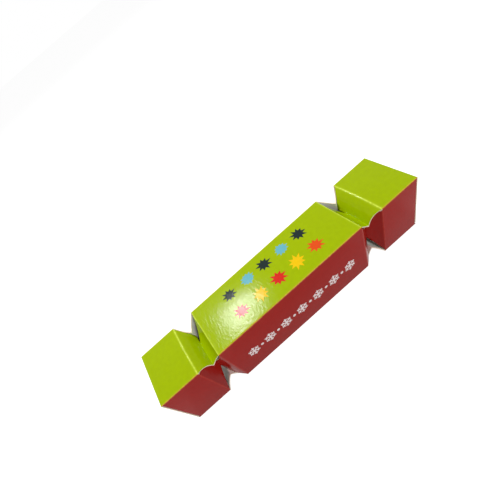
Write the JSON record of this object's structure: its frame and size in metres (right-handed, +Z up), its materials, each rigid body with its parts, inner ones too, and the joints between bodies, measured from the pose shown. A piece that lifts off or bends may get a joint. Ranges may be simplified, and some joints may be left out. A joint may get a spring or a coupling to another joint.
{
  "type": "christmas cracker",
  "caption": "Square carton christmas cracker with a long middle box, two pinched necks, end boxes with tuck lids, a pull snap and a crown, motto and gift inside.",
  "frame": {"origin": "centre of the lowest face of the cracker, where it rests", "axes": "+X along the cracker, +Z up through the green panel, -Y out of the front panel"},
  "size_m": [0.176, 0.036, 0.036],
  "materials": {
    "lime_print": "lime green ink on coated carton board, glossy",
    "red_print": "red ink on coated carton board, glossy",
    "burgundy_print": "burgundy ink on coated carton board, glossy",
    "raw_board": "uncoated grey-white back of the board, matt",
    "snap_card": "grey-brown card strip, matt",
    "sleeve_paper": "thin white paper, matt",
    "tissue": "yellow tissue paper, matt",
    "motto_paper": "white writing paper, matt",
    "gift_box_card": "blue printed card, satin",
    "playing_card": "white coated card, satin"
  },
  "bodies": {
    "barrel": {"barrel_top": "lime_print", "barrel_front": "red_print", "barrel_bottom": "burgundy_print", "barrel_back": "red_print", "barrel_glue_flap": "raw_board", "paper_crown": "tissue", "motto_slip": "motto_paper", "gift_card_box": "gift_box_card", "gift_cards": "playing_card"},
    "neck_right_top_inner": {"neck_right_top_inner": "lime_print"},
    "neck_right_top_outer": {"neck_right_top_outer": "lime_print"},
    "neck_right_front_inner": {"neck_right_front_inner": "red_print"},
    "neck_right_front_outer": {"neck_right_front_outer": "red_print"},
    "neck_right_bottom_inner": {"neck_right_bottom_inner": "burgundy_print"},
    "neck_right_bottom_outer": {"neck_right_bottom_outer": "burgundy_print"},
    "neck_right_back_inner": {"neck_right_back_inner": "red_print"},
    "neck_right_back_outer": {"neck_right_back_outer": "red_print"},
    "end_right": {"end_right_top": "lime_print", "end_right_front": "red_print", "end_right_bottom": "burgundy_print", "end_right_back": "red_print", "end_right_glue_flap": "raw_board", "snap_strip_right": "snap_card"},
    "lid_right": {"lid_right": "lime_print"},
    "tuck_right": {"tuck_right": "lime_print"},
    "dust_right_front": {"dust_right_front": "red_print"},
    "dust_right_back": {"dust_right_back": "red_print"},
    "neck_left_top_inner": {"neck_left_top_inner": "lime_print"},
    "neck_left_top_outer": {"neck_left_top_outer": "lime_print"},
    "neck_left_front_inner": {"neck_left_front_inner": "red_print"},
    "neck_left_front_outer": {"neck_left_front_outer": "red_print"},
    "neck_left_bottom_inner": {"neck_left_bottom_inner": "burgundy_print"},
    "neck_left_bottom_outer": {"neck_left_bottom_outer": "burgundy_print"},
    "neck_left_back_inner": {"neck_left_back_inner": "red_print"},
    "neck_left_back_outer": {"neck_left_back_outer": "red_print"},
    "end_left": {"end_left_top": "lime_print", "end_left_front": "red_print", "end_left_bottom": "burgundy_print", "end_left_back": "red_print", "end_left_glue_flap": "raw_board", "snap_strip_left": "snap_card", "snap_sleeve": "sleeve_paper"},
    "lid_left": {"lid_left": "lime_print"},
    "tuck_left": {"tuck_left": "lime_print"},
    "dust_left_front": {"dust_left_front": "red_print"},
    "dust_left_back": {"dust_left_back": "red_print"}
  },
  "joints": [
    {"name": "neck_right_stretch", "type": "hinge", "parent": "barrel", "child": "neck_right_top_inner", "pos_m": [0.049, 0, 0.036], "axis": [0, -1, 0], "range_deg": [0, 48]},
    {"name": "neck_right_top_valley", "type": "hinge", "parent": "neck_right_top_inner", "child": "neck_right_top_outer", "pos_m": [0.056, 0, 0.02709], "axis": [0, 1, 0], "range_deg": [0, 96]},
    {"name": "neck_right_front_crease", "type": "hinge", "parent": "barrel", "child": "neck_right_front_inner", "pos_m": [0.049, -0.018, 0.018], "axis": [0, 0, -1], "range_deg": [0, 48]},
    {"name": "neck_right_front_valley", "type": "hinge", "parent": "neck_right_front_inner", "child": "neck_right_front_outer", "pos_m": [0.056, -0.00909, 0.018], "axis": [0, 0, 1], "range_deg": [0, 96]},
    {"name": "neck_right_bottom_crease", "type": "hinge", "parent": "barrel", "child": "neck_right_bottom_inner", "pos_m": [0.049, 0, 0], "axis": [0, 1, 0], "range_deg": [0, 48]},
    {"name": "neck_right_bottom_valley", "type": "hinge", "parent": "neck_right_bottom_inner", "child": "neck_right_bottom_outer", "pos_m": [0.056, 0, 0.00891], "axis": [0, -1, 0], "range_deg": [0, 96]},
    {"name": "neck_right_back_crease", "type": "hinge", "parent": "barrel", "child": "neck_right_back_inner", "pos_m": [0.049, 0.018, 0.018], "axis": [0, 0, 1], "range_deg": [0, 48]},
    {"name": "neck_right_back_valley", "type": "hinge", "parent": "neck_right_back_inner", "child": "neck_right_back_outer", "pos_m": [0.056, 0.00909, 0.018], "axis": [0, 0, -1], "range_deg": [0, 96]},
    {"name": "end_right_crease", "type": "hinge", "parent": "neck_right_top_outer", "child": "end_right", "pos_m": [0.063, 0, 0.036], "axis": [0, -1, 0], "range_deg": [0, 48]},
    {"name": "lid_right_crease", "type": "hinge", "parent": "end_right", "child": "lid_right", "pos_m": [0.088, 0, 0.036], "axis": [0, -1, 0], "range_deg": [0, 115]},
    {"name": "tuck_right_crease", "type": "hinge", "parent": "lid_right", "child": "tuck_right", "pos_m": [0.088, 0, 0.001], "axis": [0, -1, 0], "range_deg": [0, 30]},
    {"name": "dust_right_front_crease", "type": "hinge", "parent": "end_right", "child": "dust_right_front", "pos_m": [0.08725, -0.018, 0.018], "axis": [0, 0, -1], "range_deg": [0, 46]},
    {"name": "dust_right_back_crease", "type": "hinge", "parent": "end_right", "child": "dust_right_back", "pos_m": [0.08725, 0.018, 0.018], "axis": [0, 0, 1], "range_deg": [0, 46]},
    {"name": "neck_left_stretch", "type": "hinge", "parent": "barrel", "child": "neck_left_top_inner", "pos_m": [-0.049, 0, 0.036], "axis": [0, 1, 0], "range_deg": [0, 48]},
    {"name": "neck_left_top_valley", "type": "hinge", "parent": "neck_left_top_inner", "child": "neck_left_top_outer", "pos_m": [-0.056, 0, 0.02709], "axis": [0, -1, 0], "range_deg": [0, 96]},
    {"name": "neck_left_front_crease", "type": "hinge", "parent": "barrel", "child": "neck_left_front_inner", "pos_m": [-0.049, -0.018, 0.018], "axis": [0, 0, 1], "range_deg": [0, 48]},
    {"name": "neck_left_front_valley", "type": "hinge", "parent": "neck_left_front_inner", "child": "neck_left_front_outer", "pos_m": [-0.056, -0.00909, 0.018], "axis": [0, 0, -1], "range_deg": [0, 96]},
    {"name": "neck_left_bottom_crease", "type": "hinge", "parent": "barrel", "child": "neck_left_bottom_inner", "pos_m": [-0.049, 0, 0], "axis": [0, -1, 0], "range_deg": [0, 48]},
    {"name": "neck_left_bottom_valley", "type": "hinge", "parent": "neck_left_bottom_inner", "child": "neck_left_bottom_outer", "pos_m": [-0.056, 0, 0.00891], "axis": [0, 1, 0], "range_deg": [0, 96]},
    {"name": "neck_left_back_crease", "type": "hinge", "parent": "barrel", "child": "neck_left_back_inner", "pos_m": [-0.049, 0.018, 0.018], "axis": [0, 0, -1], "range_deg": [0, 48]},
    {"name": "neck_left_back_valley", "type": "hinge", "parent": "neck_left_back_inner", "child": "neck_left_back_outer", "pos_m": [-0.056, 0.00909, 0.018], "axis": [0, 0, 1], "range_deg": [0, 96]},
    {"name": "end_left_crease", "type": "hinge", "parent": "neck_left_top_outer", "child": "end_left", "pos_m": [-0.063, 0, 0.036], "axis": [0, 1, 0], "range_deg": [0, 48]},
    {"name": "lid_left_crease", "type": "hinge", "parent": "end_left", "child": "lid_left", "pos_m": [-0.088, 0, 0.036], "axis": [0, 1, 0], "range_deg": [0, 115]},
    {"name": "tuck_left_crease", "type": "hinge", "parent": "lid_left", "child": "tuck_left", "pos_m": [-0.088, 0, 0.001], "axis": [0, 1, 0], "range_deg": [0, 30]},
    {"name": "dust_left_front_crease", "type": "hinge", "parent": "end_left", "child": "dust_left_front", "pos_m": [-0.08725, -0.018, 0.018], "axis": [0, 0, 1], "range_deg": [0, 46]},
    {"name": "dust_left_back_crease", "type": "hinge", "parent": "end_left", "child": "dust_left_back", "pos_m": [-0.08725, 0.018, 0.018], "axis": [0, 0, -1], "range_deg": [0, 46]}
  ],
  "couplings": [
    {"joint": "neck_right_top_valley", "follows": "neck_right_stretch", "ratio": 2},
    {"joint": "neck_right_front_crease", "follows": "neck_right_stretch", "ratio": 1},
    {"joint": "neck_right_front_valley", "follows": "neck_right_stretch", "ratio": 2},
    {"joint": "neck_right_bottom_crease", "follows": "neck_right_stretch", "ratio": 1},
    {"joint": "neck_right_bottom_valley", "follows": "neck_right_stretch", "ratio": 2},
    {"joint": "neck_right_back_crease", "follows": "neck_right_stretch", "ratio": 1},
    {"joint": "neck_right_back_valley", "follows": "neck_right_stretch", "ratio": 2},
    {"joint": "end_right_crease", "follows": "neck_right_stretch", "ratio": 1},
    {"joint": "tuck_right_crease", "follows": "lid_right_crease", "ratio": 0.25},
    {"joint": "dust_right_front_crease", "follows": "lid_right_crease", "ratio": 0.4},
    {"joint": "dust_right_back_crease", "follows": "lid_right_crease", "ratio": 0.4},
    {"joint": "neck_left_top_valley", "follows": "neck_left_stretch", "ratio": 2},
    {"joint": "neck_left_front_crease", "follows": "neck_left_stretch", "ratio": 1},
    {"joint": "neck_left_front_valley", "follows": "neck_left_stretch", "ratio": 2},
    {"joint": "neck_left_bottom_crease", "follows": "neck_left_stretch", "ratio": 1},
    {"joint": "neck_left_bottom_valley", "follows": "neck_left_stretch", "ratio": 2},
    {"joint": "neck_left_back_crease", "follows": "neck_left_stretch", "ratio": 1},
    {"joint": "neck_left_back_valley", "follows": "neck_left_stretch", "ratio": 2},
    {"joint": "end_left_crease", "follows": "neck_left_stretch", "ratio": 1},
    {"joint": "tuck_left_crease", "follows": "lid_left_crease", "ratio": 0.25},
    {"joint": "dust_left_front_crease", "follows": "lid_left_crease", "ratio": 0.4},
    {"joint": "dust_left_back_crease", "follows": "lid_left_crease", "ratio": 0.4}
  ]
}
